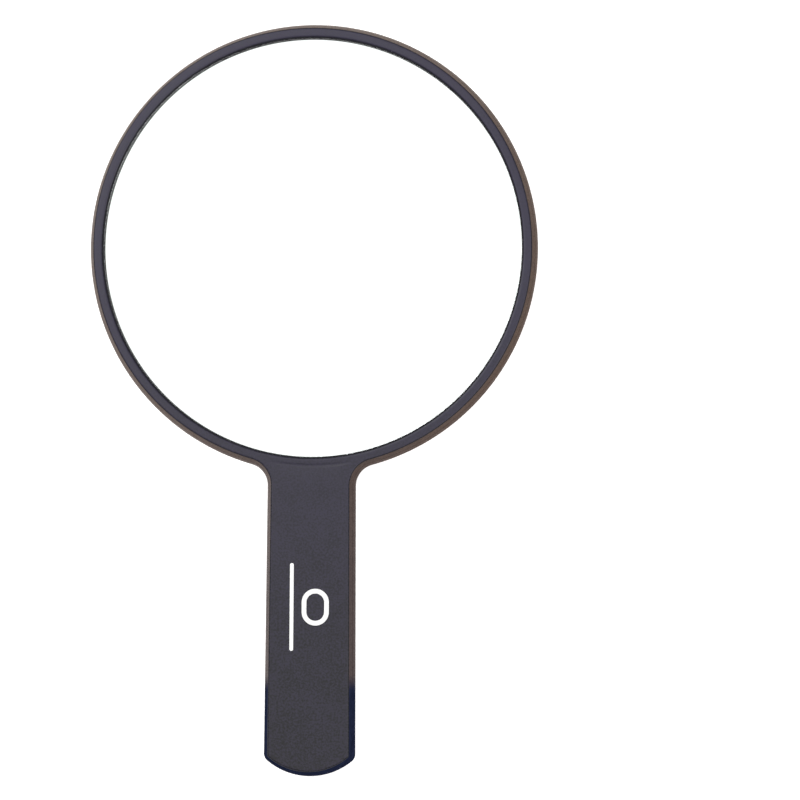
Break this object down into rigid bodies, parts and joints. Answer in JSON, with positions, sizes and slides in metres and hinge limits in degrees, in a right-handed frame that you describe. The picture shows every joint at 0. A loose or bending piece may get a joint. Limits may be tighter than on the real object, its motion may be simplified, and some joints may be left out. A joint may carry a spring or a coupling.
{
  "type": "hand mirror",
  "caption": "Round hand mirror with a flat paddle handle: two-part moulded shell around a glass disc, lying on its back.",
  "frame": {"origin": "centre of the round head, on the flat back plane that the mirror lies on", "axes": "+Z along the mirror's normal, out of the reflecting face; +Y from the handle towards the head; +X to the right, seen from the front"},
  "size_m": [0.1902, 0.3185, 0.01],
  "materials": {
    "front_shell": "fine satin texture, charcoal black",
    "back_shell": "smooth semi-gloss, charcoal black",
    "glass": "clear polished float glass with ground edge",
    "silver": "polished reflecting layer",
    "paint": "matt grey protective paint",
    "foam": "closed-cell foam tape",
    "ink": "white pad-printed ink"
  },
  "bodies": {
    "root": {"front_frame": "front_shell", "back_cover": "back_shell", "mirror_glass": "glass", "silver_coat": "silver", "backing_paint": "paint", "printed_bar": "ink", "printed_oval": "ink", "foam_pad_1": "foam", "foam_pad_2": "foam", "foam_pad_3": "foam", "foam_pad_4": "foam", "foam_pad_5": "foam", "foam_pad_6": "foam", "foam_pad_7": "foam"}
  },
  "joints": []
}
